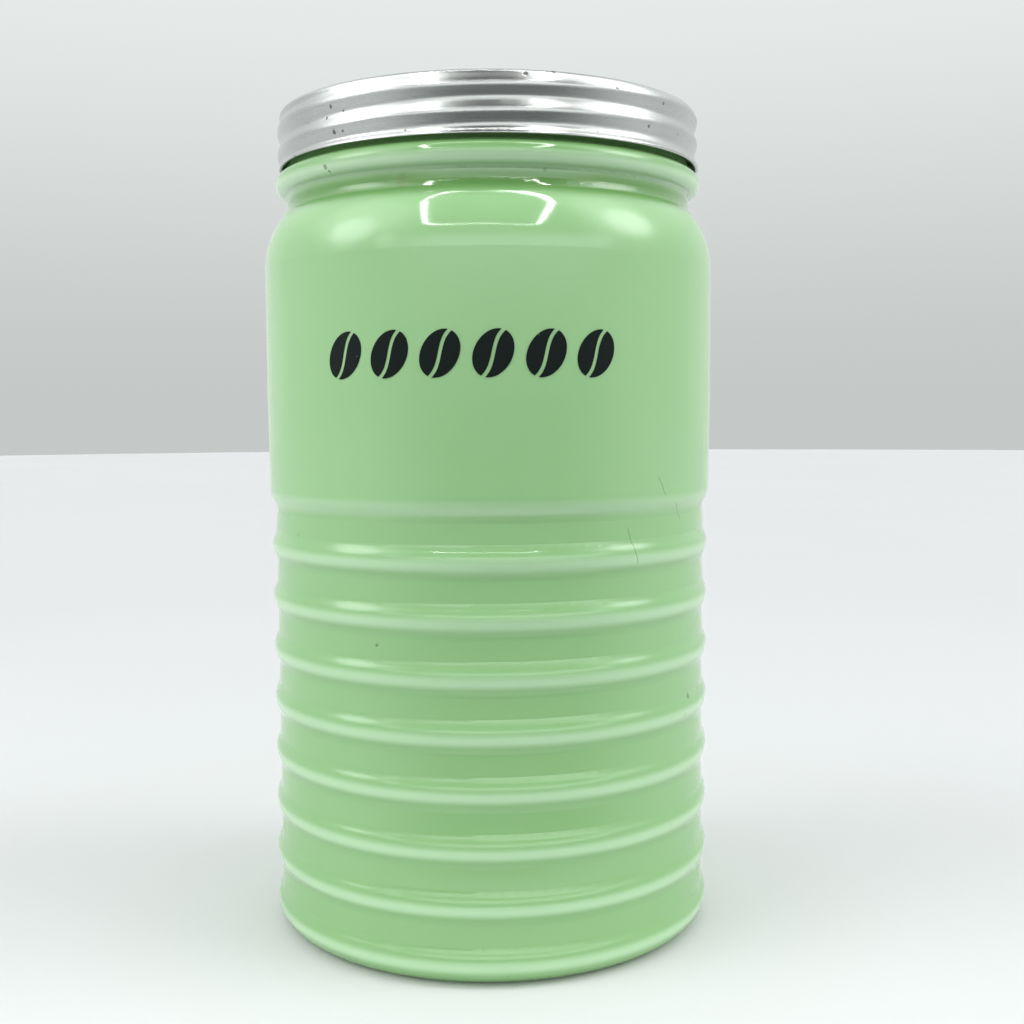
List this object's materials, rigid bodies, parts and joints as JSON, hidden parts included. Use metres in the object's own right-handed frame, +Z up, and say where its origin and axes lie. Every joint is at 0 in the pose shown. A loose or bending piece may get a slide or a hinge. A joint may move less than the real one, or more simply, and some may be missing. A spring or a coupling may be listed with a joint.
{
  "type": "storage canister",
  "caption": "Ribbed opaque glass storage canister with a rolled-thread aluminium screw lid, a two-layer sealing liner and an enamel print of coffee beans.",
  "frame": {"origin": "centre of the foot, on the surface that the canister stands on", "axes": "+Z up along the canister's axis, -Y towards the printed front"},
  "size_m": [0.1052, 0.1053, 0.1897],
  "materials": {
    "jar_glass": "opaque pale green pressed glass, fire-polished",
    "print_enamel": "fired black enamel, satin",
    "lid_metal": "bare rolled sheet, bright but worn",
    "liner_board": "grey-brown pulpboard",
    "liner_paper": "waxed white paper"
  },
  "bodies": {
    "jar": {"glass_jar": "jar_glass", "enamel_print": "print_enamel"},
    "liner": {"liner_backing": "liner_board", "liner_facing": "liner_paper"},
    "lid": {"screw_lid": "lid_metal"}
  },
  "joints": [
    {"name": "lid_rise", "type": "slide", "parent": "jar", "child": "liner", "axis": [0, 0, 1], "range_m": [0, 0.0158]},
    {"name": "lid_turn", "type": "hinge", "parent": "liner", "child": "lid", "pos_m": [0, 0, 0.18], "axis": [0, 0, 1], "range_deg": [0, 1080]}
  ],
  "couplings": [
    {"joint": "lid_rise", "follows": "lid_turn", "m_per_rad": 0.00083397}
  ]
}
